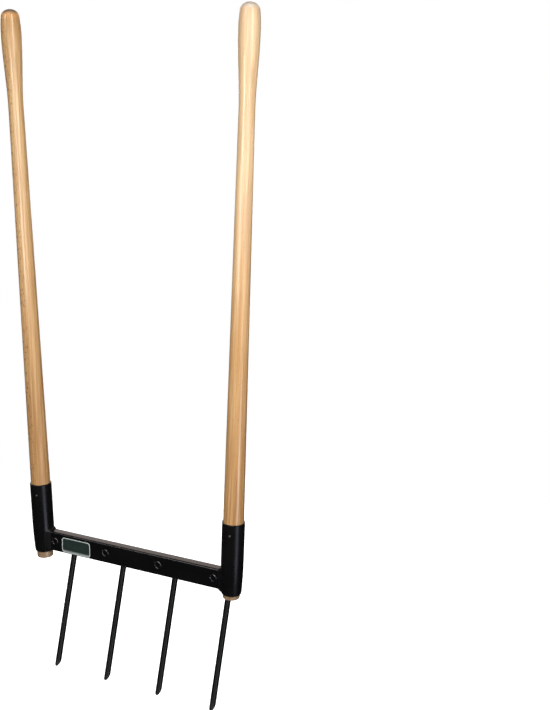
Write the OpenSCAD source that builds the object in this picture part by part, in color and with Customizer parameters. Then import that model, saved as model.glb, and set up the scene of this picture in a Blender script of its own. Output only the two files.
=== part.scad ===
// Broadfork: two wooden handles in steel sockets, joined by a crossbar that carries four curved tines.
// Millimetres, +Z up. X runs along the crossbar, to the user's right seen from the front; +Y is the back.
// The ground plane z = 0 lies under the tine points, and the origin is the middle of the footprint.

/* [Overall] */
// distance between the socket axes at the height of the crossbar
socket_spacing = 460; // [440:1:560]
// height of the crossbar's middle above the tine points
bar_z = 283; // [250:1:330]
// outward lean of each handle, in degrees
splay = 1.85; // [0:0.05:4]

/* [Handles] */
// handle length above the crossbar's middle, along the handle
handle_top = 1085; // [800:5:1300]
// diameter at the thinnest place, below the grip
neck_d = 30; // [24:0.5:36]
// distance from the handle's top down to the thinnest place
neck_down = 185; // [120:5:260]
// largest diameter of the grip
grip_d = 40; // [38:0.5:46]
// distance from the handle's top down to the grip's largest diameter
grip_down = 48; // [30:1:70]
// diameter where the rounded top starts
cap_d = 36; // [28:0.5:38]
// height of the rounded top
cap_h = 14; // [8:0.5:20]
// length of wood that shows below the left socket
left_stub = 15; // [4:0.5:25]
// length of wood that shows below the right socket
right_stub = 10; // [4:0.5:25]
// edge radius on the lower end of the wood
stub_edge = 3; // [1:0.1:4]

/* [Sockets] */
// outside diameter of the straight upper part
socket_od = 45; // [42:0.1:50]
// wall thickness of the socket tube
socket_wall = 1.8; // [1.2:0.1:3]
// height of the socket's rim above the crossbar's middle
socket_up = 123; // [90:1:150]
// reach of the socket below the crossbar's lower face
socket_below = 6; // [5.5:0.1:15]
// height above the crossbar's middle at which the socket starts to narrow
taper_up = 40; // [25:1:70]
// how much smaller the outside diameter is at the lower end, before the lip
socket_narrow = 5; // [3:0.1:7]
// how far the lower lip turns in, on the radius
lip_in = 1; // [0.5:0.1:1.5]
// height of the turned-in lip
lip_h = 3.5; // [2:0.1:5]
// small chamfer on the rim's outer edge
socket_edge = 0.5; // [0.2:0.1:1]

/* [Crossbar] */
// height of the crossbar's section
bar_h = 42; // [38:1:46]
// depth of the crossbar's section, front to back
bar_d = 21; // [18:1:24]
// wall thickness of the crossbar's tube
bar_wall = 2; // [1.5:0.1:3]
// outside corner radius of the crossbar's section
bar_corner = 2.5; // [2.4:0.1:5]

/* [Tines] */
// diameter of the tine bar
tine_d = 12.5; // [10:0.1:15]
// distance from a socket's axis in to the nearest tine
tine_inset = 36.5; // [36:0.5:45]
// distance from the crossbar's middle back to the start of the bend
tine_back = 25; // [22:1:45]
// centre-line radius of the bend
bend_r = 34; // [25:1:45]
// forward lean of the straight lower part, in degrees from upright
tine_lean = 17; // [10:0.5:26]
// length of the slanting cut that makes the point
bevel_len = 20; // [14:1:36]
// swelling of the bend over the straight part, on the radius
bend_swell = 0.05; // [0.04:0.01:0.1]

/* [Welds] */
// height of the bead round each joint of crossbar and socket
joint_leg = 5; // [3:0.1:5]
// length of that bead along the crossbar
joint_run = 6; // [4:0.1:6]
// height of that bead where it ends on the crossbar
joint_toe = 0.8; // [0.4:0.1:1.5]
// reach of the plug weld beyond each tine's front end, on the radius
plug_over = 2.5; // [1:0.1:3.5]
// reach of the plug weld over each tine's front end, on the radius
plug_lap = 1.7; // [1:0.1:3]
// height of the plug weld above the crossbar's front face
plug_h = 1.6; // [0.8:0.1:2.5]
// leg of the fillet bead round each tine at the crossbar's back face
fillet_leg = 4.5; // [2.5:0.1:6]

/* [Name plate] */
// width of the plate
plate_w = 73; // [50:1:80]
// height of the plate
plate_h = 33.5; // [20:0.5:33.5]
// thickness of the plate
plate_t = 0.8; // [0.5:0.1:1.5]
// corner radius of the plate
plate_corner = 6.5; // [2:0.1:8]
// distance from the left tine to the plate's near edge
plate_off = 19; // [12:0.5:24]
// height of the plate's middle below the crossbar's middle
plate_down = 1.7; // [0:0.1:1.7]

/* [Handle screws] */
// distance of the screw below the socket's rim
screw_down = 22; // [12:0.5:30]
// turn of the screw from straight ahead, in degrees
screw_turn = 12; // [0:1:25]
// diameter of the screw's shank
shank_d = 3; // [2.5:0.1:4]
// length of the shank from the socket's outer face inwards
shank_len = 22; // [12:0.5:30]
// diameter of the screw's head
head_d = 4; // [4:0.1:8]
// height of the screw's head
head_h = 1.3; // [1:0.1:2]
// width of the cross recess in the head
recess_w = 0.6; // [0.4:0.1:0.9]
// length of the cross recess in the head
recess_len = 2.4; // [1.8:0.1:3.4]
// depth of the cross recess in the head
recess_h = 0.7; // [0.4:0.1:0.9]

/* [Clearances] */
// gap between handle and socket, at each side
handle_gap = 0.2; // [0.1:0.05:0.3]
// gap between the crossbar's coped end and the socket
cope_gap = 0.2; // [0.1:0.05:0.3]
// gap between a tine and its hole in the crossbar, at each side
tine_gap = 0.15; // [0.1:0.05:0.3]
// gap between a weld bead and the curved pieces it joins
weld_gap = 0.05; // [0.02:0.01:0.2]
// gap between the screw's head and the socket's curved face
seat_gap = 0.05; // [0.02:0.01:0.2]
// gap between the screw's shank and the holes it passes
shank_gap = 0.15; // [0.1:0.05:0.3]

/* [Hidden] */
$fn = 64;
tine_count = 4;
tine_spacing = (socket_spacing - 2 * tine_inset) / (tine_count - 1);
steps = 8;
lip_steps = 4;
tine_r = tine_d / 2;
bend_bar_r = tine_r + bend_swell;
straight_lap = 1;
plug_out = bend_bar_r + plug_over;
plug_in = bend_bar_r - plug_lap;
socket_r = socket_od / 2;
socket_low_r = (socket_od - socket_narrow) / 2 - lip_in;
socket_low = -bar_h / 2 - socket_below;
lip_z = socket_low + lip_h;
wood_inset = socket_wall + handle_gap;
rim_wood_r = socket_r - wood_inset;
stub_r = socket_low_r - wood_inset;
neck_z = handle_top - neck_down;
grip_z = handle_top - grip_down;
cap_z = handle_top - cap_h;
screw_z = socket_up - screw_down;
bend_end_y = tine_back + bend_r * cos(tine_lean);
bend_end_z = bar_z - bend_r * (1 + sin(tine_lean));
straight_len = bend_end_z / cos(tine_lean) + tine_r * tan(tine_lean);
tip_y = bend_end_y - straight_len * sin(tine_lean) - tine_r * cos(tine_lean);
back_most = tine_back + bend_r + bend_bar_r;
front_most = min(tip_y, -(socket_r + head_h) * cos(screw_turn));
middle_y = (back_most + front_most) / 2;
plate_x = tine_x(1) + plate_off + plate_w / 2;
end_x = sqrt(socket_r * socket_r - bar_d * bar_d / 4);

// Places and curves

// x of tine n, counted from the left
function tine_x(n) = (n - (tine_count + 1) / 2) * tine_spacing;

// a curve that leaves and arrives level, for t from 0 to 1
function ease(t) = t * t * (3 - 2 * t);

// share of the socket's narrowing that is reached at height z above the crossbar's middle
function taper(z) = pow(max(taper_up - z, 0) / (taper_up - socket_low), 2);

// share of the lip's turn that is reached at height z, along a quarter of an ellipse
function lip(z) = 1 - sqrt(1 - pow(max(lip_z - z, 0) / lip_h, 2));

// outside radius of the socket at height z
function socket_r_at(z) = socket_r - taper(z) * socket_narrow / 2 - lip(z) * lip_in;

// lower end of the handle on one side; side is -1 for left, 1 for right
function stub_low(side) = socket_low - (side < 0 ? left_stub : right_stub);

// heights of the steps that draw the socket's lip and narrowing, from the bottom up
taper_zs = concat(
  [for (i = [lip_steps:-1:1]) lip_z - lip_h * sin(90 * i / lip_steps)],
  [for (i = [0:steps]) lip_z + i * (taper_up - lip_z) / steps]
);

// moves the tool so that its footprint is centred on the origin
module placed() {
  translate([0, -middle_y, 0]) children();
}

// puts a piece on the socket's axis, with z = 0 at the crossbar's middle; side is -1 for left, 1 for right
module on_side(side) {
  translate([side * socket_spacing / 2, 0, bar_z])
    rotate([0, side * splay, 0])
      children();
}

// rounded rectangle in the drawing plane
module rounded_box(w, h, r) {
  square([w - 2 * r, h], center = true);
  square([w, h - 2 * r], center = true);
  for (sx = [-1, 1])
    for (sy = [-1, 1])
      translate([sx * (w / 2 - r), sy * (h / 2 - r)])
        circle(r = r);
}

// bar along x with the crossbar's section, larger by grow on each side
module bar_shape(len, grow) {
  rotate([90, 0, 90])
    linear_extrude(height = len, center = true)
      rounded_box(bar_d + 2 * grow, bar_h + 2 * grow, bar_corner + grow);
}

// space taken by a socket, with its inside filled, larger by grow
module socket_space(grow) {
  rotate_extrude()
    polygon(concat(
      [[0, socket_low]],
      [for (z = taper_zs) [socket_r_at(z) + grow, z]],
      [[socket_r + grow, socket_up], [0, socket_up]]
    ));
}

// cylinder along the screw's line, from the socket's axis outwards
module screw_bore(r, inner, outer) {
  translate([0, 0, screw_z])
    rotate([0, 0, screw_turn])
      rotate([90, 0, 0])
        translate([0, 0, inner])
          cylinder(r = r, h = outer - inner);
}

// Wooden handles

module handle(side) {
  // the shape of one handle, from the stub upwards
  profile = concat(
    [[0, stub_low(side)]],
    [for (i = [0:steps])
      let (a = 90 * i / steps)
      [stub_r - stub_edge * (1 - sin(a)), stub_low(side) + stub_edge * (1 - cos(a))]],
    [for (z = taper_zs) [socket_r_at(z) - wood_inset, z]],
    [[rim_wood_r, socket_up]],
    [for (i = [0:2 * steps])
      let (t = i / (2 * steps))
      [neck_d / 2 + ease(t) * (grip_d - neck_d) / 2, neck_z + t * (grip_z - neck_z)]],
    [for (i = [1:steps])
      let (t = i / steps)
      [grip_d / 2 + t * t * (cap_d - grip_d) / 2, grip_z + t * (cap_z - grip_z)]],
    [for (i = [1:steps])
      let (a = 90 * i / steps)
      [cap_d / 2 * cos(a), cap_z + cap_h * sin(a)]]
  );
  color("burlywood")
    placed()
      on_side(side)
        difference() {
          rotate_extrude() polygon(profile);
          screw_bore(shank_d / 2 + shank_gap, socket_r - shank_len - 1, socket_r);
        }
}

module left_handle() {
  handle(-1);
}

module right_handle() {
  handle(1);
}

// Steel sockets

module socket(side) {
  // tube wall: up the outside, over the rim and down the inside
  outside = [for (z = taper_zs) [socket_r_at(z), z]];
  inside = [for (i = [steps + lip_steps:-1:0]) [socket_r_at(taper_zs[i]) - socket_wall, taper_zs[i]]];
  profile = concat(
    outside,
    [[socket_r, socket_up - socket_edge], [socket_r - socket_edge, socket_up]],
    [[socket_r - socket_wall, socket_up]],
    inside
  );
  color("black")
    placed()
      on_side(side)
        difference() {
          rotate_extrude() polygon(profile);
          screw_bore(shank_d / 2 + shank_gap, socket_r / 2, socket_r + 1);
        }
}

module left_socket() {
  socket(-1);
}

module right_socket() {
  socket(1);
}

// Crossbar

module crossbar() {
  color("black")
    placed()
      difference() {
        translate([0, 0, bar_z])
          bar_shape(socket_spacing, 0);
        translate([0, 0, bar_z])
          bar_shape(socket_spacing + 2, -bar_wall);
        for (side = [-1, 1])
          on_side(side) socket_space(cope_gap);
        for (n = [1:tine_count])
          translate([tine_x(n), 0, bar_z])
            rotate([90, 0, 0])
              cylinder(r = bend_bar_r + tine_gap, h = bar_d + 2, center = true);
      }
}

// Tines

module tine(n) {
  color("black")
    placed()
      translate([tine_x(n), 0, 0]) {
        translate([0, -bar_d / 2, bar_z])
          rotate([-90, 0, 0])
            cylinder(r = bend_bar_r, h = bar_d / 2 + tine_back);
        translate([0, tine_back, bar_z - bend_r])
          rotate([0, -90, 0])
            rotate_extrude(angle = 90 + tine_lean)
              translate([bend_r, 0])
                circle(r = bend_bar_r);
        translate([0, bend_end_y, bend_end_z])
          rotate([-tine_lean, 0, 0])
            difference() {
              translate([0, 0, -straight_len])
                cylinder(r = tine_r, h = straight_len + straight_lap);
              point_cut();
            }
      }
}

// wedge behind the point; it leaves the tine's front edge longest
module point_cut() {
  slope = bevel_len / tine_d;
  rotate([90, 0, 90])
    linear_extrude(height = tine_d + 2, center = true)
      polygon([
        [-tine_r, -straight_len],
        [tine_r + 1, -straight_len + slope * (tine_d + 1)],
        [tine_r + 1, -straight_len - 1],
        [-tine_r, -straight_len - 1]
      ]);
}

module tine_1() {
  tine(1);
}

module tine_2() {
  tine(2);
}

module tine_3() {
  tine(3);
}

module tine_4() {
  tine(4);
}

// Plug welds on the crossbar's front face

module plug_weld(n) {
  mid = (plug_out + plug_in) / 2;
  half = (plug_out - plug_in) / 2;
  color("dimgray")
    placed()
      translate([tine_x(n), -bar_d / 2, bar_z])
        rotate([90, 0, 0])
          rotate_extrude()
            polygon([for (i = [0:steps])
              let (a = 180 * i / steps)
              [mid + half * cos(a), plug_h * sin(a)]]);
}

module plug_weld_1() {
  plug_weld(1);
}

module plug_weld_2() {
  plug_weld(2);
}

module plug_weld_3() {
  plug_weld(3);
}

module plug_weld_4() {
  plug_weld(4);
}

// Fillet welds round the tines at the crossbar's back face

module tine_weld(n) {
  inner = bend_bar_r + weld_gap;
  color("dimgray")
    placed()
      translate([tine_x(n), bar_d / 2, bar_z])
        rotate([-90, 0, 0])
          rotate_extrude()
            polygon(concat(
              [[inner, 0]],
              [for (i = [0:steps])
                let (a = 90 * i / steps)
                [inner + fillet_leg * cos(a), fillet_leg * sin(a)]]
            ));
}

module tine_weld_1() {
  tine_weld(1);
}

module tine_weld_2() {
  tine_weld(2);
}

module tine_weld_3() {
  tine_weld(3);
}

module tine_weld_4() {
  tine_weld(4);
}

// Weld beads between crossbar and sockets

// outline of the bead seen along the crossbar's height or depth; half is half the crossbar's size that way
module bead_outline(half) {
  polygon([
    [end_x / 2, -half - joint_leg],
    [end_x, -half - joint_leg],
    [end_x + joint_run, -half - joint_toe],
    [end_x + joint_run, half + joint_toe],
    [end_x, half + joint_leg],
    [end_x / 2, half + joint_leg]
  ]);
}

// full block of the bead, before crossbar and socket are cut out of it
module bead_block() {
  intersection() {
    rotate([90, 0, 0])
      linear_extrude(height = bar_d + 4 * joint_leg, center = true)
        bead_outline(bar_h / 2);
    linear_extrude(height = bar_h + 4 * joint_leg, center = true)
      bead_outline(bar_d / 2);
  }
}

module socket_weld(side) {
  color("dimgray")
    placed()
      difference() {
        translate([side * socket_spacing / 2, 0, bar_z])
          rotate([0, 0, side > 0 ? 180 : 0])
            bead_block();
        translate([0, 0, bar_z])
          bar_shape(socket_spacing, weld_gap);
        on_side(side) socket_space(weld_gap);
      }
}

module left_socket_weld() {
  socket_weld(-1);
}

module right_socket_weld() {
  socket_weld(1);
}

// Handle screws

module handle_screw(side) {
  color("silver")
    placed()
      on_side(side) {
        translate([0, 0, screw_z])
          rotate([0, 0, screw_turn])
            rotate([90, 0, 0])
              translate([0, 0, socket_r + seat_gap])
                screw_head();
        screw_bore(shank_d / 2, socket_r - shank_len, socket_r + seat_gap);
      }
}

// domed head with a cross recess, flat side at z = 0
module screw_head() {
  difference() {
    rotate_extrude()
      polygon(concat(
        [[0, 0]],
        [for (i = [0:steps])
          let (a = 90 * i / steps)
          [head_d / 2 * cos(a), head_h * sin(a)]]
      ));
    for (turn = [0, 90])
      rotate([0, 0, turn])
        translate([-recess_len / 2, -recess_w / 2, head_h - recess_h])
          cube([recess_len, recess_w, recess_h + 1]);
  }
}

module left_handle_screw() {
  handle_screw(-1);
}

module right_handle_screw() {
  handle_screw(1);
}

// Name plate, left blank

module name_plate() {
  color("darkgreen")
    placed()
      translate([plate_x, -bar_d / 2, bar_z - plate_down])
        rotate([90, 0, 0])
          linear_extrude(height = plate_t)
            rounded_box(plate_w, plate_h, plate_corner);
}

left_handle();
right_handle();
left_socket();
right_socket();
crossbar();
tine_1();
tine_2();
tine_3();
tine_4();
plug_weld_1();
plug_weld_2();
plug_weld_3();
plug_weld_4();
tine_weld_1();
tine_weld_2();
tine_weld_3();
tine_weld_4();
left_socket_weld();
right_socket_weld();
left_handle_screw();
right_handle_screw();
name_plate();
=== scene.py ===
# %% [markdown]
# # A broadfork, dressed for its picture
#
# A broadfork is a wide garden fork for loosening soil. You step on the crossbar to push the tines in,
# then pull both handles back. Every solid piece comes from the CAD model, already in place and at
# real size, in metres. This lesson gives those pieces their wood, paint and steel, rebuilds the weld
# beads with ripples, and sets up floor, camera and light.

import math
import random

import bpy
from mathutils import Matrix, Vector
from mathutils.bvhtree import BVHTree


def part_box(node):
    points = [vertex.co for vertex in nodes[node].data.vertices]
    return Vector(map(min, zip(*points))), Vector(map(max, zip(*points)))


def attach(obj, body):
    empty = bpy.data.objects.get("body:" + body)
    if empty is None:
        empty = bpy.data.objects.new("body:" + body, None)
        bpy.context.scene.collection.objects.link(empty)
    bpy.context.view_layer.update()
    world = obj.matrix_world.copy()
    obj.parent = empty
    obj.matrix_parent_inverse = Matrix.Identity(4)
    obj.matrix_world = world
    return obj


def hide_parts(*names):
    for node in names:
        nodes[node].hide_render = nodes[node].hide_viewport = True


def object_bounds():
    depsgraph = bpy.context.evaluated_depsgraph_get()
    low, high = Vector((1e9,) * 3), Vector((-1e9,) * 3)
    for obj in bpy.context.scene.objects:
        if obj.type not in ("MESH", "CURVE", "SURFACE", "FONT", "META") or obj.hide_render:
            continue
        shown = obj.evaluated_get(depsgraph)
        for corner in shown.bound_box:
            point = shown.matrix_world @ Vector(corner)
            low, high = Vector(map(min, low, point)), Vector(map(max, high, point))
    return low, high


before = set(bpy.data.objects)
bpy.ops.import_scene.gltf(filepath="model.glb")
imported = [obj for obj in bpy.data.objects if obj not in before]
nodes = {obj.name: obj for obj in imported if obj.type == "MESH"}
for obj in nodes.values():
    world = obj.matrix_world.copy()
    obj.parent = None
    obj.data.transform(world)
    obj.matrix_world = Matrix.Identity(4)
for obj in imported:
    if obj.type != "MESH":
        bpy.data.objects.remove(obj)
cad_box = [list(corner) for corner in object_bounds()]
print("CAD nodes:", len(nodes), "box:", cad_box)

# %% [markdown]
# ## Measuring the frame
#
# Numbers that the CAD model already knows are measured from it, not typed again. The crossbar gives
# the front and back faces and the middle height, each tine gives its place along the bar, and a
# handle's two ends tell how far it leans outwards. Heights along a leaning handle start at the
# crossbar's middle.

# %% Measure the crossbar and the tines
MM = 0.001
# a point this close to the highest one belongs to the flat top
FLAT_SLACK = 0.01 * MM
TINES = (1, 2, 3, 4)
SIDES = {"left": -1, "right": 1}

bar_low, bar_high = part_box("crossbar")
bar_front, bar_back = bar_low.y, bar_high.y
bar_half_d = (bar_high.y - bar_low.y) / 2
bar_half_h = (bar_high.z - bar_low.z) / 2
bar_middle = (bar_low + bar_high) / 2


def points_of(name):
    return [v.co for v in nodes[name].data.vertices]


def tine_x(number):
    """Place of a tine along the crossbar."""
    low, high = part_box(f"tine_{number}")
    return (low.x + high.x) / 2


def corner_radius(name, across):
    """Rounding of a rectangular section, from the width of its flat top; across is 0 for x, 1 for y."""
    low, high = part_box(name)
    flat = [p[across] for p in points_of(name) if p.z > high.z - FLAT_SLACK]
    return (high[across] - low[across] - max(flat) + min(flat)) / 2


bar_corner = corner_radius("crossbar", 1)
print("crossbar faces:", round(bar_front, 4), round(bar_back, 4), "corner:", round(bar_corner, 4))
print("tines at x:", [round(tine_x(n), 4) for n in TINES])

# %% Measure the handles
END_SLICE = 6 * MM


def handle_line(side):
    """Where a handle's axis crosses the crossbar's height, and its outward lean in radians."""
    points = points_of(f"{side}_handle")
    foot = min(p.z for p in points)
    top = max(p.z for p in points)
    low_x = [p.x for p in points if p.z < foot + END_SLICE]
    high_x = [p.x for p in points if p.z > top - END_SLICE]
    x_foot = (min(low_x) + max(low_x)) / 2
    x_top = (min(high_x) + max(high_x)) / 2
    lean = math.atan2(x_top - x_foot, top - foot)
    x_bar = x_foot + (bar_middle.z - foot) * math.tan(lean)
    return Vector((x_bar, bar_middle.y, bar_middle.z)), lean


def reach_along(side, name):
    """Lowest and highest place of a node, measured along the handle from the crossbar's middle."""
    origin, lean = handle_lines[side]
    axis = Vector((math.sin(lean), 0, math.cos(lean)))
    heights = [(p - origin).dot(axis) for p in points_of(name)]
    return min(heights), max(heights)


handle_lines = {side: handle_line(side) for side in SIDES}
for side, (_, lean) in handle_lines.items():
    reach = [round(height, 4) for height in reach_along(side, f"{side}_handle")]
    print(side, "handle leans", round(math.degrees(lean), 2), "degrees and reaches", reach)

# %% [markdown]
# ## A short way to write shaders
#
# Every finish here is a node tree round one Principled shader. Writing each node and link by hand
# hides the idea under bookkeeping, so one small class gives the usual steps short names: noise,
# streaks, mix, span, math. A second class adds what only a material has. All patterns read Object
# coordinates. The CAD pieces sit at the origin, so those are real metres.

# %% Node tree helper
# sockets of the Mix node that belong to colours; the others are for numbers and vectors
MIX_FACTOR, MIX_A, MIX_B, MIX_RESULT = 0, 6, 7, 2
RANGE_SOCKETS = ("From Min", "From Max", "To Min", "To Max")


class Nodes:
    """A node tree and short calls that add nodes to it."""

    def __init__(self, tree):
        self.tree = tree

    def node(self, kind, **settings):
        made = self.tree.nodes.new(kind)
        for key, value in settings.items():
            setattr(made, key, value)
        return made

    def put(self, socket, value):
        """Links an output to a socket, or stores a plain value in it."""
        if isinstance(value, bpy.types.NodeSocket):
            self.tree.links.new(value, socket)
        else:
            socket.default_value = value

    def place(self, vector, location=(0, 0, 0), rotation=(0, 0, 0), scale=(1, 1, 1), undo=False):
        """Moves, turns and scales coordinates, or takes such a move away again."""
        made = self.node("ShaderNodeMapping", vector_type="TEXTURE" if undo else "POINT")
        self.put(made.inputs["Vector"], vector)
        made.inputs["Location"].default_value = location
        made.inputs["Rotation"].default_value = rotation
        made.inputs["Scale"].default_value = scale
        return made.outputs["Vector"]

    def noise(self, vector, scale, detail=3.0, roughness=0.5):
        made = self.node("ShaderNodeTexNoise")
        self.put(made.inputs["Vector"], vector)
        made.inputs["Scale"].default_value = scale
        made.inputs["Detail"].default_value = detail
        made.inputs["Roughness"].default_value = roughness
        return made.outputs[0]

    def streaks(self, vector, squeeze, scale, detail=3.0, roughness=0.5):
        """Noise drawn out along z: a squeeze of 0.1 makes its marks ten times as long."""
        return self.noise(self.place(vector, scale=(1, 1, squeeze)), scale, detail, roughness)

    def span(self, value, low, high, to_low=0.0, to_high=1.0, smooth=False):
        """Maps low..high to to_low..to_high and holds it there outside."""
        made = self.node("ShaderNodeMapRange", clamp=True)
        made.interpolation_type = "SMOOTHSTEP" if smooth else "LINEAR"
        for key, number in zip(RANGE_SOCKETS, (low, high, to_low, to_high)):
            made.inputs[key].default_value = number
        self.put(made.inputs["Value"], value)
        return made.outputs["Result"]

    def math(self, operation, *values):
        made = self.node("ShaderNodeMath", operation=operation)
        for socket, value in zip(made.inputs, values):
            self.put(socket, value)
        return made.outputs[0]

    def mix(self, factor, a, b):
        """Mixes two colours; a plain colour is written as three numbers."""
        made = self.node("ShaderNodeMix", data_type="RGBA")
        self.put(made.inputs[MIX_FACTOR], factor)
        for place, colour in ((MIX_A, a), (MIX_B, b)):
            linked = isinstance(colour, bpy.types.NodeSocket)
            self.put(made.inputs[place], colour if linked else (*colour, 1.0))
        return made.outputs[MIX_RESULT]

    def axes(self, vector):
        made = self.node("ShaderNodeSeparateXYZ")
        self.put(made.inputs[0], vector)
        return made.outputs


print("node helper ready")

# %% Material helper
class Finish(Nodes):
    """One material, its shader and its object coordinates."""

    def __init__(self, name):
        self.material = bpy.data.materials.new(name)
        self.material.use_nodes = True
        super().__init__(self.material.node_tree)
        self.shader = self.tree.nodes["Principled BSDF"]
        self.coords = self.node("ShaderNodeTexCoord").outputs["Object"]

    def constant(self, **values):
        """Sets numbers or colours that are the same all over the surface."""
        for key, value in values.items():
            self.shader.inputs[key.replace("_", " ")].default_value = value

    def feed(self, name, output):
        """Links an output to one of the shader's own sockets."""
        self.tree.links.new(output, self.shader.inputs[name])

    def bumped(self, height, strength, distance, under=None):
        """Surface direction with a bump on it, over another bump if one is given."""
        made = self.node("ShaderNodeBump")
        made.inputs["Strength"].default_value = strength
        made.inputs["Distance"].default_value = distance
        self.put(made.inputs["Height"], height)
        if under:
            self.put(made.inputs["Normal"], under)
        return made.outputs["Normal"]

    def bump(self, height, strength, distance, socket="Normal", under=None):
        self.feed(socket, self.bumped(height, strength, distance, under))


def wear(node_name, finish):
    """Gives a CAD node one finish in place of its plain colour."""
    node = nodes[node_name]
    node.data.materials.clear()
    node.data.materials.append(finish.material)


# most of a noise lies in this range
USUAL = (0.3, 0.7)
print("material helper ready")

# %% [markdown]
# ## Wood of the handles
#
# The handles are turned from a pale, straight-grained hardwood and lacquered. Turning cuts through
# the growth rings, so the rings show as long lines, with a few arches where the grain runs out, and as
# true rings on the end grain. One solid pattern does both: rings round a far-off pith line that is a
# little tilted, stretched along the handle. Broad and narrow streaks, fine fibres and the short marks
# of the wood's rays go over it.

# %% Grain of the wood
PITH_TILT = (0.010, -0.014, 0.0)
# squeeze along the handle and settings of the growth rings
GROWTH_SQUEEZE = 0.035
GROWTH = {"Scale": 60.0, "Distortion": 2.4, "Detail": 2.0, "Detail Scale": 1.2}
# squeeze along the handle, scale, detail and roughness of each noise
MARKS = {
    "broad": (0.05, 105.0, 2.0, 0.5),
    "streak": (0.02, 330.0, 3.0, 0.6),
    "fibre": (0.016, 1100.0, 4.0, 0.65),
    "ray": (0.42, 400.0, 1.5, 0.4),
}


def grain(finish, sawn):
    """Patterns of one piece of wood by name: rings, broad streaks, narrow streaks, fibres and rays."""
    rings = finish.node(
        "ShaderNodeTexWave", wave_type="RINGS", rings_direction="Z", wave_profile="SAW"
    )
    finish.put(rings.inputs["Vector"], finish.place(sawn, scale=(1, 1, GROWTH_SQUEEZE)))
    for name, value in GROWTH.items():
        rings.inputs[name].default_value = value
    patterns = {name: finish.streaks(sawn, *settings) for name, settings in MARKS.items()}
    patterns["rings"] = rings.outputs[1]
    return patterns


print("grain patterns:", ["rings", *MARKS])

# %% [markdown]
# ## Colour of the wood
#
# The wood is painted paler at the grips and browner towards the sockets: painted light high up and
# painted shade low down. The dark streaks are boldest low down. Each pattern brings in one more tint,
# like thin glazes over each other, so the recipe is a list that one loop walks through. To change the
# wood, change a row.

# %% Wood tone
PALE_WOOD = (0.68, 0.435, 0.205)
CREAM_WOOD = (0.78, 0.56, 0.31)
WARM_WOOD = (0.50, 0.270, 0.100)
LATE_WOOD = (0.36, 0.175, 0.062)
# heights above the crossbar; the first two bound the painted shade below and the painted light above
PAINTED_SHADE_BELOW, PAINTED_LIGHT_ABOVE = 0.10, 0.88
BOLD_BELOW, BOLD_ENDS = 0.12, 0.50
BOLD_STREAK = (0.50, 0.62)
# pattern, the range of it that counts, the tint's share at both ends of that range, and the tint
GLAZES = [
    ("broad", 0.42, 0.66, 0.0, 0.75, WARM_WOOD),
    ("rings", 0.55, 1.0, 0.0, 0.42, LATE_WOOD),
    ("bold", 0.0, 1.0, 0.0, 0.75, LATE_WOOD),
    ("streak", 0.28, 0.46, 0.45, 0.0, CREAM_WOOD),
    ("streak", 0.50, 0.74, 0.0, 0.50, LATE_WOOD),
    ("fibre", 0.48, 0.80, 0.0, 0.30, LATE_WOOD),
]


def wood_tone(finish, patterns, height):
    """Colour of the wood before flecks and ends."""
    low_down = finish.span(height, BOLD_BELOW, BOLD_ENDS, 1.0, 0.0)
    bold = finish.math("MULTIPLY", finish.span(patterns["streak"], *BOLD_STREAK), low_down)
    patterns = {**patterns, "bold": bold}
    # painted light and shade: warm brown wood low down turns pale high up
    tone = finish.mix(finish.span(height, PAINTED_SHADE_BELOW, PAINTED_LIGHT_ABOVE, smooth=True), WARM_WOOD, PALE_WOOD)
    for name, low, high, share_low, share_high, tint in GLAZES:
        tone = finish.mix(finish.span(patterns[name], low, high, share_low, share_high), tone, tint)
    return tone


print("glazes on the wood:", len(GLAZES))

# %% [markdown]
# ## Flecks and stubs
#
# Small dark flecks are the cut ends of the wood's rays. They show on the sides where the saw ran along
# them, so they are masked to one side of the handle. The stubs below the sockets are bare end grain,
# greyer and dirtier than the rest, and painted darker still as painted shade under the sockets.

# %% Flecks and stubs
FLECK = (0.17, 0.058, 0.020)
FLECK_RANGE = (0.61, 0.67)
# distance from the handle's axis where flecks begin and are full, and their share elsewhere
FLECKS_FROM, FLECKS_FULL, FLECKS_ELSEWHERE = 4 * MM, 14 * MM, 0.03
BARE_AND_SHADED_END = (0.33, 0.215, 0.130)
DIRT = (0.075, 0.050, 0.032)
DIRT_NOISE = (420.0, 3.0, 0.6)
DIRT_RANGE = (0.48, 0.66)
STUB_BELOW, STUB_ENDS, STUB_SHARE = -1 * MM, 3 * MM, 0.85


def flecked(finish, tone, patterns, x, y, towards, share):
    """Lays flecks on the side of the handle that faces a direction across it."""
    aside = [finish.math("MULTIPLY", axis, part) for axis, part in zip((x, y), towards)]
    facing = finish.span(
        finish.math("ADD", *aside), FLECKS_FROM, FLECKS_FULL, FLECKS_ELSEWHERE, 1.0
    )
    flecks = finish.span(patterns["ray"], *FLECK_RANGE, 0.0, share)
    return finish.mix(finish.math("MULTIPLY", flecks, facing), tone, FLECK)


def stubbed(finish, tone, height, lip):
    """Lays bare, dirty end grain below the socket's lip, darkened as painted shade."""
    spots = finish.noise(finish.coords, *DIRT_NOISE)
    # bare end grain with real dirt spots, its colour also darkened as painted shade under the socket
    bare = finish.mix(finish.span(spots, *DIRT_RANGE), BARE_AND_SHADED_END, DIRT)
    below = finish.span(height, lip + STUB_BELOW, lip + STUB_ENDS, STUB_SHARE, 0.0)
    return finish.mix(below, tone, bare)


print("fleck and stub helpers ready")

# %% [markdown]
# ## Lacquer and grip ends
#
# The grips carry painted light and shade near their ends. The left one is painted browner and darker
# towards its end, as painted shade, with a honey band just below the dark end. The right one is painted
# paler over its upper half, with a pale greyish end, as painted light. Those tints grow in towards the
# end of the handle. Lacquer is a clear coat over everything; its own slight waves break up the long
# highlight.

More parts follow.
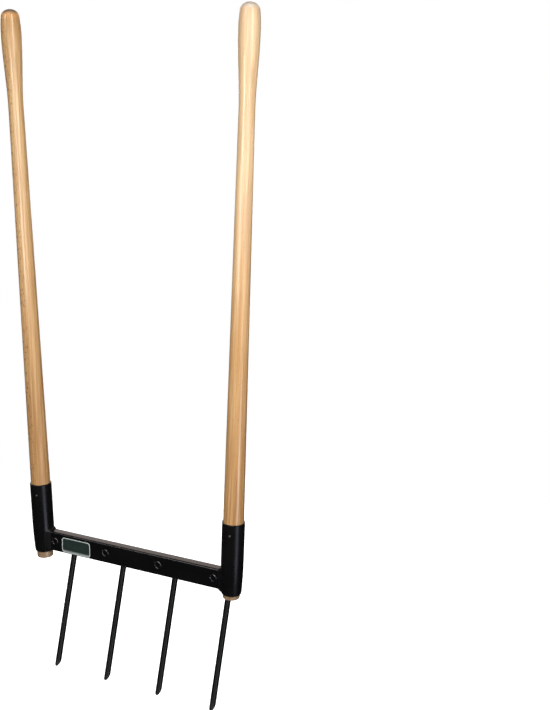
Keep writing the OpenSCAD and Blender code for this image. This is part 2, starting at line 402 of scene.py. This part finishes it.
# %% Wood finish
# the last three colours are painted shade on the left grip's end and painted light on the right grip
HONEY_END = (0.74, 0.345, 0.115)
PAINTED_SHADE_END = (0.21, 0.155, 0.110)
PAINTED_LIGHT_WOOD = (0.84, 0.68, 0.50)
PAINTED_LIGHT_END = (0.80, 0.74, 0.64)
# millimetres below the handle's end where a tint begins and is full, the tint and its share; the tints
# paint shade on the left grip and light on the right grip
LEFT_END = [(90, 18, WARM_WOOD, 0.75), (22, 12, HONEY_END, 0.50), (11, 3, PAINTED_SHADE_END, 0.85)]
RIGHT_END = [(640, 260, PAINTED_LIGHT_WOOD, 0.22), (110, 30, PAINTED_LIGHT_WOOD, 0.10), (14, 4, PAINTED_LIGHT_END, 0.70)]
# pith line beside the handle, shift of the pattern, flecked side and share of flecks, painted light and
# shade at the end
HANDLES = {
    "left": ((0.046, 0.021), 0.3, (-0.77, -0.64), 0.95, LEFT_END),
    "right": ((-0.031, 0.040), 1.7, (0.80, -0.60), 0.12, RIGHT_END),
}
# strength and depth of the bumps in the wood and in the lacquer
FIBRE_BUMP = (0.20, 0.25 * MM)
LACQUER_BUMP = (0.25, 0.20 * MM)
WOOD_ROUGH = (0.40, 0.56)


def wood(side, pith, shift, fleck_side, fleck_share, end_light_and_shade):
    finish = Finish(f"lacquered_wood_{side}")
    origin, lean = handle_lines[side]
    _, top = reach_along(side, f"{side}_handle")
    lip, _ = reach_along(side, f"{side}_socket")
    along = finish.place(finish.coords, origin, (0, lean, 0), undo=True)
    x, y, height = finish.axes(along)
    patterns = grain(finish, finish.place(along, (*pith, shift), PITH_TILT))
    tone = wood_tone(finish, patterns, height)
    tone = flecked(finish, tone, patterns, x, y, fleck_side, fleck_share)
    # painted light and shade near the handle's end: darker on the left grip, paler on the right
    for begins, full, tint, share in end_light_and_shade:
        near_end = finish.span(height, top - begins * MM, top - full * MM, 0.0, share, smooth=True)
        tone = finish.mix(near_end, tone, tint)
    finish.feed("Base Color", stubbed(finish, tone, height, lip))
    finish.feed("Roughness", finish.span(patterns["fibre"], *USUAL, *WOOD_ROUGH))
    finish.bump(patterns["fibre"], *FIBRE_BUMP)
    finish.bump(patterns["streak"], *LACQUER_BUMP, socket="Coat Normal")
    finish.constant(Specular_IOR_Level=0.5, Coat_Weight=1.0, Coat_Roughness=0.17)
    return finish


for side, recipe in HANDLES.items():
    wear(f"{side}_handle", wood(side, *recipe))
print("wood on", [f"{side}_handle" for side in HANDLES])

# %% [markdown]
# ## Black paint on the steel
#
# Sockets, crossbar and tines are powder coated in satin black. Powder coat is never mirror smooth: it
# has a faint orange-peel surface and patches that are a little duller, where hands and dust have been.
# The colour stays almost the same everywhere, so the life comes from roughness and bump. Edges are
# rubbed greyer: a mask that each piece brings along, broken up by noise, says where its edges are.

# %% Black paint finish
BLACK = (0.0036, 0.0036, 0.0040)
DUST = (0.0072, 0.0068, 0.0064)
RUBBED = (0.045, 0.043, 0.041)
# scale, detail and roughness of each noise; scuffs are drawn out upwards, so theirs starts with
# a squeeze
PATCHES = (16.0, 4.0, 0.6)
PEEL = (460.0, 2.0)
SCUFFS = (0.22, 170.0, 5.0, 0.7)
PEEL_BUMP = (0.14, 0.22 * MM)
DUST_RANGE, DUST_SHARE = (0.45, 0.80), 0.55
SCUFF_RANGE = (0.64, 0.78)
EDGE_RANGE, EDGE_SHARE = (0.40, 0.65), 0.6
DULL_RANGE = (0.30, 0.75)


def black_paint(name, rough, scuffs, shine=0.3, edges=None, roll=None):
    """Satin black; rough is a range, scuffs a share, and edges and roll are functions of the finish."""
    finish = Finish(name)
    patches = finish.noise(finish.coords, *PATCHES)
    peel = finish.noise(finish.coords, *PEEL)
    scuff = finish.streaks(finish.coords, *SCUFFS)
    tone = finish.mix(finish.span(patches, *DUST_RANGE, 0.0, DUST_SHARE), BLACK, DUST)
    tone = finish.mix(finish.span(scuff, *SCUFF_RANGE, 0.0, scuffs), tone, RUBBED)
    if edges:
        worn = finish.span(scuff, *EDGE_RANGE, 0.0, EDGE_SHARE)
        tone = finish.mix(finish.math("MULTIPLY", edges(finish), worn), tone, RUBBED)
    finish.feed("Base Color", tone)
    finish.feed("Roughness", finish.span(patches, *DULL_RANGE, *rough))
    finish.bump(peel, *PEEL_BUMP, under=roll(finish) if roll else None)
    finish.constant(Specular_IOR_Level=shine)
    return finish


print("paint helper ready")

# %% [markdown]
# ## Where the paint is rubbed
#
# On a socket that is the rim and the lower lip, both at known heights along the handle. On the crossbar
# it is the four long corners, where the distance from the middle is large in both directions at once.
# The crossbar's top and bottom also sink by a hair before they reach the corners, as they do on rolled
# tube. That is far too little to change the outline, so a bump does it, and the light bends there.

# %% Paint on the sockets and the crossbar
EDGE = 1.6 * MM
# share of an edge, counted from its end, that is rubbed in full
RIM_FULL, CORNER_FULL = 0.3, 0.4
ROLL_WIDE, ROLL_DROP = 2.0 * MM, 0.26 * MM
# the roll ends this far into the corner, as a share of its radius
ROLL_INTO = 0.4


def socket_edges(side):
    lip, rim = reach_along(side, f"{side}_socket")
    origin, lean = handle_lines[side]

    def mask(finish):
        height = finish.axes(finish.place(finish.coords, origin, (0, lean, 0), undo=True))[2]
        upper = finish.span(height, rim - EDGE, rim - RIM_FULL * EDGE)
        lower = finish.span(height, lip + RIM_FULL * EDGE, lip + EDGE, 1.0, 0.0)
        return finish.math("MAXIMUM", upper, lower)

    return mask


def bar_edges(finish):
    _, y, z = finish.axes(finish.place(finish.coords, tuple(-bar_middle)))
    near = [
        finish.span(finish.math("ABSOLUTE", axis), half - bar_corner, half - CORNER_FULL * bar_corner)
        for axis, half in ((y, bar_half_d), (z, bar_half_h))
    ]
    return finish.math("MULTIPLY", *near)


def bar_roll(finish):
    """Surface direction of a top and bottom that roll off before the corners."""
    _, y, _ = finish.axes(finish.place(finish.coords, tuple(-bar_middle)))
    flat = bar_half_d - bar_corner
    near = finish.span(finish.math("ABSOLUTE", y), flat - ROLL_WIDE, flat + ROLL_INTO * bar_corner)
    drop = finish.math("MULTIPLY", finish.math("POWER", near, 2.0), -ROLL_DROP)
    return finish.bumped(drop, strength=1.0, distance=1.0)


for side in SIDES:
    socket_finish = black_paint(
        f"satin_black_{side}_socket", rough=(0.24, 0.34), scuffs=0.15, edges=socket_edges(side)
    )
    wear(f"{side}_socket", socket_finish)
bar_finish = black_paint(
    "satin_black_crossbar", rough=(0.16, 0.26), scuffs=0.20, shine=0.5, edges=bar_edges, roll=bar_roll
)
wear("crossbar", bar_finish)
print("paint on the sockets and the crossbar")

# %% [markdown]
# ## Tines
#
# The tines have the same paint, but their points go through stony soil, so the paint there is rubbed
# and the steel begins to show. A height mask, broken up by noise, brings in the rubbed steel near the
# ground. A hard line would look like tape, so the noise shifts the border up and down.

# %% Tine finish
STEEL = (0.10, 0.097, 0.094)
STEEL_SHARE = 0.25
WORN_NOISE = (0.35, 240.0, 5.0, 0.65)
# the noise lowers a height by up to this much, and the lowered height says where the paint is rubbed
WORN_SHIFT = 0.075
WORN_BELOW, WORN_ENDS = -0.040, -0.018


def tine_paint():
    finish = black_paint("satin_black_tine", rough=(0.09, 0.15), scuffs=0.20, shine=0.27)
    height = finish.axes(finish.coords)[2]
    broken = finish.streaks(finish.coords, *WORN_NOISE)
    border = finish.math("ADD", height, finish.math("MULTIPLY", broken, -WORN_SHIFT))
    rubbed = finish.span(border, WORN_BELOW, WORN_ENDS, STEEL_SHARE, 0.0, smooth=True)
    painted = finish.shader.inputs["Base Color"].links[0].from_socket
    finish.feed("Base Color", finish.mix(rubbed, painted, STEEL))
    return finish


tine_finish = tine_paint()
for number in TINES:
    wear(f"tine_{number}", tine_finish)
print("paint on", len(TINES), "tines")

# %% [markdown]
# ## Screws
#
# One small screw holds each handle in its socket. It is zinc-plated steel, dulled by handling. A metal
# shader with fine noise in its colour and roughness is enough at this size.

# %% Screw finish
ZINC_DARK = (0.14, 0.125, 0.10)
ZINC_LIGHT = (0.28, 0.255, 0.215)
ZINC_CLOUD = 900.0
ZINC_ROUGH = (0.34, 0.52)
ZINC_BUMP = (0.10, 0.05 * MM)


def dull_screw():
    finish = Finish("zinc_screw")
    cloud = finish.noise(finish.coords, ZINC_CLOUD)
    finish.feed("Base Color", finish.mix(cloud, ZINC_DARK, ZINC_LIGHT))
    finish.feed("Roughness", finish.span(cloud, *USUAL, *ZINC_ROUGH))
    finish.bump(cloud, *ZINC_BUMP)
    finish.constant(Metallic=0.85)
    return finish


screw_finish = dull_screw()
for side in SIDES:
    wear(f"{side}_handle_screw", screw_finish)
print("steel on the handle screws")

# %% [markdown]
# ## Plate on the crossbar
#
# A thin dark green plate sits near the left end of the crossbar, with a pale line round its edge and a
# fainter band along the bottom. The pattern is a rounded-rectangle distance, built from a few math
# nodes: it is zero on the plate's edge and grows inwards, so one range of it makes the line. The field
# stays blank.

# %% Plate pattern
def depth_from_edge(finish, x, z, half_w, half_h, corner):
    """Distance inwards from the edge of a rounded rectangle."""
    over_x = finish.math("SUBTRACT", finish.math("ABSOLUTE", x), half_w - corner)
    over_z = finish.math("SUBTRACT", finish.math("ABSOLUTE", z), half_h - corner)
    out_x = finish.math("MAXIMUM", over_x, 0.0)
    out_z = finish.math("MAXIMUM", over_z, 0.0)
    squares = finish.math("ADD", finish.math("POWER", out_x, 2.0), finish.math("POWER", out_z, 2.0))
    inside = finish.math("MINIMUM", finish.math("MAXIMUM", over_x, over_z), 0.0)
    outside = finish.math("ADD", finish.math("SQRT", squares), inside)
    return finish.math("SUBTRACT", corner, outside)


print("plate pattern ready")

# %% Plate finish
PLATE_GREEN = (0.015, 0.026, 0.0225)
PLATE_WORN = (0.023, 0.037, 0.033)
PLATE_PALE = (0.62, 0.67, 0.64)
LINE_FROM, LINE_TO = 0.3 * MM, 2.0 * MM
BAND_HIGH, BAND_SHARE = 5.5 * MM, 0.35
FADE = 0.35 * MM
PLATE_RUB = (260.0, 4.0, 0.6)
# how the rub thins the pale paint, lightens the green and changes the gloss
THIN_RANGE, THIN_SHARES = (0.25, 0.55), (0.72, 1.0)
LIGHT_RANGE, LIGHT_SHARE = (0.40, 0.80), 0.6
PLATE_ROUGH = (0.30, 0.46)
# heights of the pale paint and of the rub, then the bump's strength and depth
PAINT_HIGH, RUB_HIGH = 0.6, 0.1
PLATE_BUMP = (0.3, 0.15 * MM)


def plate_enamel():
    finish = Finish("blank_green_plate")
    low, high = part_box("name_plate")
    half_w, half_h = (high.x - low.x) / 2, (high.z - low.z) / 2
    x, _, z = finish.axes(finish.place(finish.coords, tuple((low + high) / -2)))
    depth = depth_from_edge(finish, x, z, half_w, half_h, corner_radius("name_plate", 0))
    start = finish.span(depth, LINE_FROM, LINE_FROM + FADE)
    line = finish.math("MULTIPLY", start, finish.span(depth, LINE_TO, LINE_TO + FADE, 1.0, 0.0))
    band_top = BAND_HIGH - half_h
    band = finish.math("MULTIPLY", start, finish.span(z, band_top, band_top + FADE, BAND_SHARE, 0.0))
    rub = finish.noise(finish.coords, *PLATE_RUB)
    drawn = finish.math("MAXIMUM", line, band)
    pale = finish.math("MULTIPLY", drawn, finish.span(rub, *THIN_RANGE, *THIN_SHARES))
    field = finish.mix(finish.span(rub, *LIGHT_RANGE, 0.0, LIGHT_SHARE), PLATE_GREEN, PLATE_WORN)
    finish.feed("Base Color", finish.mix(pale, field, PLATE_PALE))
    finish.feed("Roughness", finish.span(rub, *USUAL, *PLATE_ROUGH))
    paint_high = finish.math("MULTIPLY", pale, PAINT_HIGH)
    finish.bump(finish.math("ADD", paint_high, finish.math("MULTIPLY", rub, RUB_HIGH)), *PLATE_BUMP)
    return finish


wear("name_plate", plate_enamel())
print("blank enamel on the plate")

# %% [markdown]
# ## Weld beads
#
# A hand-laid weld is a row of small overlapping puddles, so its surface has crescent ripples. The CAD
# model has plain beads of the right size; here each one is replaced by a rippled bead in the same
# place. All beads are one kind of mesh: a closed path walked in steps, with a closed outline across the
# bead at each step, so the bead is solid. Writing that once, as a grid of points, is easier to steer
# than a bevelled curve, because ripples need every point.

# %% Bead mesh helper
# edges that turn by more than this stay sharp
SHARP = math.radians(80)
RIPPLE_DEPTH, RIPPLE_BEND = 0.45, 0.35


def bead_mesh(name, rows, finish, replaced):
    """Solid ring of quads: rows go round the joint, and each row goes round the bead's section."""
    across = len(rows[0])
    points = [tuple(p) for row in rows for p in row]
    faces = []
    for i in range(len(rows)):
        here, after = i * across, (i + 1) % len(rows) * across
        for j in range(across):
            beside = (j + 1) % across
            faces.append((here + j, after + j, after + beside, here + beside))
    mesh = bpy.data.meshes.new(name)
    mesh.from_pydata(points, [], faces)
    mesh.update()
    mesh.shade_smooth()
    mesh.set_sharp_from_angle(angle=SHARP)
    mesh.materials.append(finish.material)
    bead = bpy.data.objects.new(name, mesh)
    bpy.context.scene.collection.objects.link(bead)
    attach(bead, "root")
    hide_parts(replaced)
    return bead


def ripple(turns, across):
    """Height factor of a crescent ripple; across runs from -1 to 1 over the bead's width."""
    phase = (turns + RIPPLE_BEND * across * across) % 1.0
    return 1.0 - RIPPLE_DEPTH * phase


ring_finish = black_paint("painted_weld_ring", rough=(0.12, 0.20), scuffs=0.45, shine=0.9)
fillet_finish = black_paint("painted_weld_fillet", rough=(0.40, 0.55), scuffs=0.30)
print("bead helper ready")

# %% [markdown]
# ## Plug welds at the front
#
# Each tine ends flush with the crossbar's front face and is welded round its end. On the real tool that
# leaves a low rough ring with a dark dimple in the middle. The ring's height and width wander a little,
# from a few seeded random waves, so the four beads differ from each other but come out the same on
# every run.

# %% Front rings
RING_STEPS = 120
RING_ACROSS = 13
RING_RIPPLES = 8
# number of waves and size of the wander, in width and in height
RING_WIDE, RING_TALL = (4, 0.09), (5, 0.32)
RING_LEVEL = 0.85
RING_SPREAD = 0.6
SEED_STEP = 40
# the way a ring faces along y
TO_FRONT, TO_BACK = -1, 1
# a section that ends higher than this above the face gets one more point, down in the corner
ROOT_ABOVE = 0.1 * MM


def wander(rng, waves, size):
    """Smooth closed variation round a ring, as a few sine waves."""
    orders = range(1, waves + 1)
    parts = [(k, rng.uniform(-size, size) / k, rng.uniform(0, math.tau)) for k in orders]
    return lambda a: sum(amount * math.sin(k * a + start) for k, amount, start in parts)


def ring_bead(bead_name, number, face_y, outward, section, finish, replaced):
    """Rippled ring round a tine; section gives radius and height, from 0 to 1 across the bead."""
    rng = random.Random(SEED_STEP * outward + number)
    wide = wander(rng, *RING_WIDE)
    tall = wander(rng, *RING_TALL)
    centre = Vector((tine_x(number), face_y, bar_middle.z))
    rooted = section(1.0)[1] > ROOT_ABOVE
    rows = []
    for i in range(RING_STEPS):
        a = math.tau * i / RING_STEPS
        row = []
        for j in range(RING_ACROSS):
            t = j / (RING_ACROSS - 1)
            radius, height = section(t)
            crest = ripple(RING_RIPPLES * i / RING_STEPS, 2 * t - 1)
            height = height * (RING_LEVEL + tall(a)) * crest
            radius = radius * (1.0 + wide(a) * (1.0 - t) * RING_SPREAD)
            off = Vector((radius * math.cos(a), outward * height, radius * math.sin(a)))
            row.append(centre + off)
        if rooted:
            row.append(Vector((row[-1].x, face_y, row[-1].z)))
        rows.append(row if outward < 0 else row[::-1])
    return bead_mesh(f"{bead_name}_{number}", rows, finish, replaced)


def ring_size(name, number):
    """Inner and outer radius and height of a CAD ring round a tine."""
    low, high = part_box(name)
    x = tine_x(number)
    radii = [math.hypot(p.x - x, p.z - bar_middle.z) for p in points_of(name)]
    return min(radii), max(radii), high.y - low.y


def plug_section(inner, outer, tall):
    """Low dome from the ring's outer edge to its inner edge."""
    mid, half = (outer + inner) / 2, (outer - inner) / 2
    return lambda t: (mid + half * math.cos(math.pi * t), tall * math.sin(math.pi * t))


for number in TINES:
    name = f"plug_weld_{number}"
    section = plug_section(*ring_size(name, number))
    ring_bead("plug_bead", number, bar_front, TO_FRONT, section, ring_finish, name)
print("front rings:", len(TINES))

# %% [markdown]
# ## Fillet welds at the back
#
# Behind the crossbar a fillet bead fills the corner between the tine and the flat face. It uses the
# same ring, with a quarter-round section that starts on the flat face and ends on the tine.

# %% Back rings
def fillet_section(inner, outer, leg):
    """Quarter round from the crossbar's face to the tine's side."""
    wide = outer - inner
    return lambda t: (inner + wide * math.cos(math.pi / 2 * t), leg * math.sin(math.pi / 2 * t))


for number in TINES:
    name = f"tine_weld_{number}"
    section = fillet_section(*ring_size(name, number))
    ring_bead("tine_bead", number, bar_back, TO_BACK, section, fillet_finish, name)
print("back rings:", len(TINES))

# %% [markdown]
# ## Beads between crossbar and sockets
#
# The crossbar's ends are cut to the socket's curve and welded all round. The bead follows the
# crossbar's rounded rectangle and leans on the socket's round side. To find that side without copying
# its formula, a ray is shot along the crossbar at the socket's own mesh: where it hits, the bead stands
# on the steel.

# %% Crossbar outline
BEAD_STEPS = 168


def bar_outline(steps):
    """Points and outward directions round the crossbar's section, as (y, z, out_y, out_z)."""
    flat_d, flat_h = bar_half_d - bar_corner, bar_half_h - bar_corner
    arc = math.pi / 2 * bar_corner
    # length of a flat, where it starts, where it runs and faces, and the corner after it
    sides = [
        (2 * flat_h, (bar_half_d, -flat_h), (0, 1), (1, 0), (flat_d, flat_h), 0.0),
        (2 * flat_d, (flat_d, bar_half_h), (-1, 0), (0, 1), (-flat_d, flat_h), math.pi / 2),
        (2 * flat_h, (-bar_half_d, flat_h), (0, -1), (-1, 0), (-flat_d, -flat_h), math.pi),
        (2 * flat_d, (-flat_d, -bar_half_h), (1, 0), (0, -1), (flat_d, -flat_h), 1.5 * math.pi),
    ]
    total = sum(side[0] + arc for side in sides)
    outline = []
    for i in range(steps):
        s = total * i / steps
        for length, start, run, out, centre, angle in sides:
            if s < length:
                outline.append((start[0] + run[0] * s, start[1] + run[1] * s, *out))
                break
            s -= length
            if s < arc:
                a = angle + s / bar_corner
                c, n = math.cos(a), math.sin(a)
                outline.append((centre[0] + bar_corner * c, centre[1] + bar_corner * n, c, n))
                break
            s -= arc
    return outline


bar_path = bar_outline(BEAD_STEPS)
print("outline points:", len(bar_path))

# %% Socket beads
BEAD_ACROSS = 9
BEAD_RIPPLES = 36
BEAD_WIDE, BEAD_TALL = (5, 0.10), (6, 0.10)
BEAD_LEVEL = 0.95
BEAD_SWELL = 0.6 * MM
BEAD_SEED = 7
# share of each direction in a slant halfway between them
SLANT = 0.7


def socket_bead(side, sign):
    """Bead round one end of the crossbar; sign says which way along x the socket lies."""
    name = f"{side}_socket_weld"
    low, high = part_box(name)
    leg = (high.z - low.z) / 2 - bar_half_h
    toe_x = low.x if sign > 0 else high.x
    mesh = nodes[f"{side}_socket"].data
    steel = BVHTree.FromPolygons([v.co for v in mesh.vertices], [p.vertices for p in mesh.polygons])
    to_socket = Vector((sign, 0, 0))
    rng = random.Random(BEAD_SEED + sign)
    wide, tall = wander(rng, *BEAD_WIDE), wander(rng, *BEAD_TALL)
    rows = []
    for i, (y, z, out_y, out_z) in enumerate(bar_path):
        a = math.tau * i / BEAD_STEPS
        on_bar = bar_middle + Vector((0, y, z))
        outward = Vector((0, out_y, out_z))
        beside = on_bar + leg * (BEAD_LEVEL + wide(a)) * outward
        on_socket, root = (
            steel.ray_cast(Vector((0, p.y, p.z)), to_socket)[0] for p in (beside, on_bar)
        )
        toe = Vector((toe_x, on_bar.y, on_bar.z))
        swell_way = SLANT * (outward - to_socket)
        row = []
        for j in range(BEAD_ACROSS):
            t = j / (BEAD_ACROSS - 1)
            crest = ripple(BEAD_RIPPLES * i / BEAD_STEPS, 2 * t - 1)
            swell = BEAD_SWELL * math.sin(math.pi * t) * (crest + tall(a))
            row.append(toe.lerp(on_socket, t) + swell_way * swell)
        row.append(root)
        rows.append(row if sign > 0 else row[::-1])
    return bead_mesh(f"{side}_socket_bead", rows, fillet_finish, name)


for side, sign in SIDES.items():
    socket_bead(side, sign)
print("socket beads:", list(SIDES))

# %% [markdown]
# ## Floor
#
# The picture shows the tool against plain white. A pale floor gives it something to stand on and takes
# soft shadows. A finite floor would show an edge, so its material fades to clear with distance from the
# tool and the white surroundings take over. The floor neither lights the tool nor shows in its gloss,
# so the black paint keeps its depth, as it does in a dark studio with a few bright panels.

# %% Floor
FLOOR_HALF = 6.0
FADE_FROM, FADE_TO = 0.45, 1.5
FLOOR_DARK, FLOOR_LIGHT = (0.89, 0.89, 0.89), (0.91, 0.91, 0.91)
FLOOR_CLOUD = (0.6, 2.0)
FLOOR_GLOW = 0.65


def pale_floor():
    finish = Finish("pale_floor")
    cloud = finish.noise(finish.coords, *FLOOR_CLOUD)
    finish.feed("Base Color", finish.mix(cloud, FLOOR_DARK, FLOOR_LIGHT))
    finish.constant(Roughness=0.9, Specular_IOR_Level=0.1)
    finish.constant(Emission_Color=(1, 1, 1, 1), Emission_Strength=FLOOR_GLOW)
    reach = finish.node("ShaderNodeVectorMath", operation="LENGTH")
    finish.put(reach.inputs[0], finish.coords)
    clear = finish.span(reach.outputs["Value"], FADE_FROM, FADE_TO, 1.0, 0.0, smooth=True)
    finish.feed("Alpha", clear)
    corners = [(x * FLOOR_HALF, y * FLOOR_HALF, 0) for x, y in ((-1, -1), (1, -1), (1, 1), (-1, 1))]
    mesh = bpy.data.meshes.new("floor")
    mesh.from_pydata(corners, [], [(0, 1, 2, 3)])
    mesh.materials.append(finish.material)
    floor = bpy.data.objects.new("floor", mesh)
    bpy.context.scene.collection.objects.link(floor)
    floor.location.z = cad_box[0][2]
    floor.visible_glossy = False
    floor.visible_diffuse = False
    return floor


pale_floor()
print("floor at height", cad_box[0][2])

# %% [markdown]
# ## Camera
#
# The camera stands in front, to the right and above, as in the picture. Its place and turn were worked
# out by matching the edges of handles, sockets, crossbar and tines, so nothing has to be nudged by eye.
# The sensor spans the picture's long side, so the focal length in pixels turns straight into
# millimetres.

# %% Camera
IMAGE_HIGH = 710
SENSOR = 36.0
FOCAL_PIXELS = 1117.64
# place counted from the crossbar's middle, in metres, and turns in radians
EYE = Vector((1.2253, -1.7766, 0.9252))
YAW, PITCH, ROLL = 0.47128, 0.2276, 0.01062


def camera_turn(yaw, pitch, roll):
    """Rotation whose columns are the camera's right, up and backward directions."""
    level = math.cos(pitch)
    ahead = Vector((-math.sin(yaw) * level, math.cos(yaw) * level, -math.sin(pitch)))
    right = Vector((math.cos(yaw), math.sin(yaw), 0))
    up = right.cross(ahead)
    turned_right = right * math.cos(roll) + up * math.sin(roll)
    turned_up = up * math.cos(roll) - right * math.sin(roll)
    return Matrix((turned_right, turned_up, -ahead)).transposed()


lens = bpy.data.cameras.new("photo_camera")
lens.sensor_width = SENSOR
lens.lens = FOCAL_PIXELS * SENSOR / IMAGE_HIGH
camera = bpy.data.objects.new("photo_camera", lens)
bpy.context.scene.collection.objects.link(camera)
stand = Matrix.Translation(EYE + Vector((0, bar_middle.y, bar_middle.z)))
camera.matrix_world = stand @ camera_turn(YAW, PITCH, ROLL).to_4x4()
bpy.context.scene.camera = camera
bpy.context.scene.view_settings.view_transform = "Standard"
print("camera at", [round(v, 3) for v in camera.location], "lens mm:", round(lens.lens, 2))

# %% [markdown]
# ## Lamps for the matte light
#
# Soft studio light comes from big panels. A broad key stands beside the camera, so round wood is bright
# in the middle and falls away to both edges. A near panel in front of the tool lights both handles from
# inside, one on the right brightens the upper half of the right handle, and a wide one opposite the
# camera lights the back. Only the near panel shows in gloss; what else gloss mirrors comes from the
# surroundings.

# %% Lamps
CAMERA_SIDE = math.atan2(EYE.x, -EYE.y)


def around(turn, away, height):
    """Place at an angle from the camera's side, in degrees, positive to the camera's right."""
    side = CAMERA_SIDE + math.radians(turn)
    return Vector((away * math.sin(side), -away * math.cos(side), height))


def lamp(name, place, aim, size, watts, in_gloss=False):
    """Rectangular lamp at a place, turned towards its aim."""
    light = bpy.data.lights.new(name, "AREA")
    light.shape = "RECTANGLE"
    light.size, light.size_y = size
    light.energy = watts
    made = bpy.data.objects.new(name, light)
    bpy.context.scene.collection.objects.link(made)
    made.location = place
    made.rotation_euler = (Vector(aim) - place).to_track_quat("-Z", "Y").to_euler()
    made.visible_camera = False
    made.visible_glossy = in_gloss
    return made


near_place, grip_place = Vector((0.04, -1.0, 0.95)), Vector((0.85, -0.48, 1.12))
lamp("key", around(-4, 3.0, 1.6), aim=(0, 0, 0.7), size=(1.6, 1.6), watts=46)
lamp("near_front", near_place, aim=(0, 0, 0.95), size=(0.34, 0.56), watts=3.9, in_gloss=True)
lamp("grip_light", grip_place, aim=(0.27, 0, 1.0), size=(0.5, 0.5), watts=4.6)
lamp("back", around(178, 3.0, 2.0), aim=(0, 0, 0.7), size=(3.6, 1.6), watts=170)

# %% [markdown]
# ## Surroundings
#
# The surroundings are white for the camera, a soft grey for matte light and nearly black for gloss,
# with a few soft bright panels. A round bar mirrors a panel halfway between the camera and the panel,
# and an upright bar seen from above mirrors what lies below the horizon. So each panel's turn and rise
# put a line of light in one place: down the sockets, on the grips, along the tines, or on the top and
# the front edge of the crossbar.

# %% Panels that gloss mirrors
SEEN, FELT, GLOSS = 1.0, 0.36, 0.012
# turn from the front, rise above the horizon, half width and half height in degrees; strength, tint
PANELS = {
    "front_level": (2, 3, 14, 6, 1.3, (1.0, 1.0, 1.05)),
    "right_low": (68, -21, 12, 6, 3.9, (0.86, 0.90, 1.14)),
    "right_level": (60, 13, 8, 13, 8.0, (1.0, 1.0, 1.0)),
    "tine_line": (56, -5, 5, 3, 6.0, (1.0, 1.0, 1.05)),
    "back_high": (-145, 20, 60, 9, 1.15, (1.0, 0.84, 0.77)),
    "edge_line": (-25, 21, 9, 8, 9.0, (1.0, 0.95, 0.93)),
    "front_high": (14, 40, 17, 14, 3.4, (1.0, 1.0, 1.02)),
    "over_front": (35, 72, 70, 8, 1.6, (1.0, 1.0, 1.0)),
    "back_low": (-150, -14, 12, 24, 3.0, (0.95, 0.97, 1.05)),
}
# a panel fades over this much on both sides of its edge
SOFT = math.radians(4)


def surroundings():
    world = bpy.data.worlds.new("studio")
    bpy.context.scene.world = world
    world.use_nodes = True
    sky = Nodes(world.node_tree)
    sky.tree.nodes.clear()
    x, y, z = sky.axes(sky.node("ShaderNodeTexCoord").outputs["Generated"])
    turn = sky.math("ARCTAN2", x, sky.math("MULTIPLY", y, -1.0))
    rise = sky.math("ARCSINE", z)
    ray = sky.node("ShaderNodeLightPath").outputs

    def glow(strength, tint=(1.0, 1.0, 1.0)):
        made = sky.node("ShaderNodeBackground")
        made.inputs["Color"].default_value = (*tint, 1.0)
        sky.put(made.inputs["Strength"], strength)
        return made.outputs[0]

    def join(kind, *values):
        made = sky.node(kind)
        for socket, value in zip(made.inputs, values):
            sky.put(socket, value)
        return made.outputs[0]

    def window(offset, half):
        near, far = math.radians(half) - SOFT, math.radians(half) + SOFT
        return sky.span(sky.math("ABSOLUTE", offset), near, far, 1.0, 0.0, smooth=True)

    mirrored = glow(GLOSS)
    for panel_turn, panel_rise, wide, high, strength, tint in PANELS.values():
        aside = sky.math("SUBTRACT", turn, math.radians(panel_turn))
        aside = sky.math("WRAP", aside, math.pi, -math.pi)
        above = sky.math("SUBTRACT", rise, math.radians(panel_rise))
        shape = sky.math("MULTIPLY", window(aside, wide), window(above, high))
        panel = glow(sky.math("MULTIPLY", shape, strength), tint)
        mirrored = join("ShaderNodeAddShader", mirrored, panel)
    lit = join("ShaderNodeMixShader", ray["Is Glossy Ray"], glow(FELT), mirrored)
    shown = join("ShaderNodeMixShader", ray["Is Camera Ray"], lit, glow(SEEN))
    sky.put(sky.node("ShaderNodeOutputWorld").inputs["Surface"], shown)


surroundings()
print("surroundings: seen", SEEN, "felt", FELT, "panels in gloss:", list(PANELS))

# %% [markdown]
# ## Last look at the sizes
#
# Dressing must not make the tool bigger. The box of the CAD model is printed, so it can be compared
# with what is shown after each render.

# %% Print the CAD box
print("CAD box:", cad_box)
